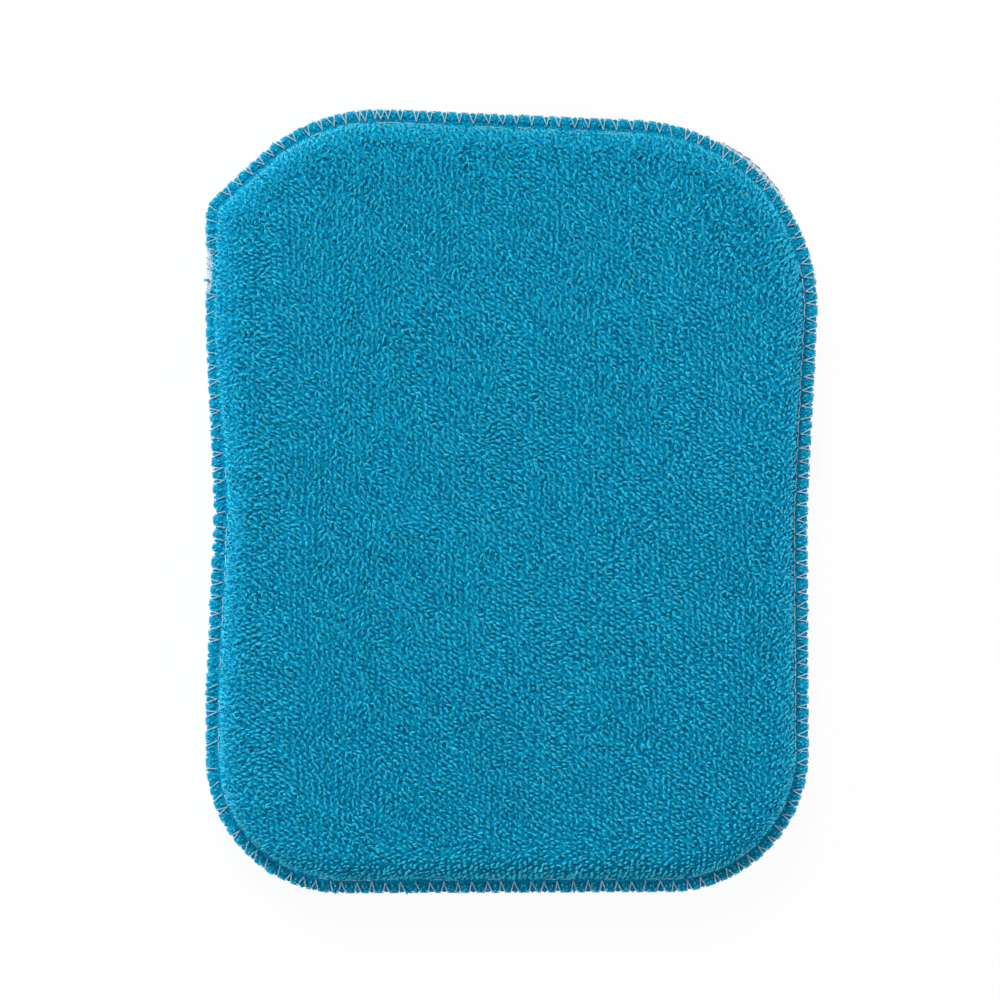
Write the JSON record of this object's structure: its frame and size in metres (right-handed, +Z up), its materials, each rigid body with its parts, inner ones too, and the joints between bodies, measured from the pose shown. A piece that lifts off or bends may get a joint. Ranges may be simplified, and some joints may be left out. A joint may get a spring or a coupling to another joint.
{
  "type": "terry cleaning sponge pad",
  "caption": "Flat padded cleaning pad of looped terry cloth over a foam sheet, overlocked all round, with one slanted corner.",
  "frame": {"origin": "middle of the outline's box, on the flat underside", "axes": "+X across the pad to the right as pictured, +Y along the pad to the edge with the crown, +Z up through the front cover"},
  "size_m": [0.1398, 0.1792, 0.015],
  "materials": {
    "terry": "turquoise microfibre terry, short dense loops, matt with small bright glints on the loops",
    "foam": "pale open-cell polyurethane foam, matt",
    "thread": "pale lilac grey twisted polyester sewing thread, soft sheen"
  },
  "bodies": {
    "root": {"front_cover": "terry", "back_cover": "terry", "foam_core": "foam", "needle_thread": "thread", "upper_looper_thread": "thread", "lower_looper_thread": "thread"}
  },
  "joints": []
}
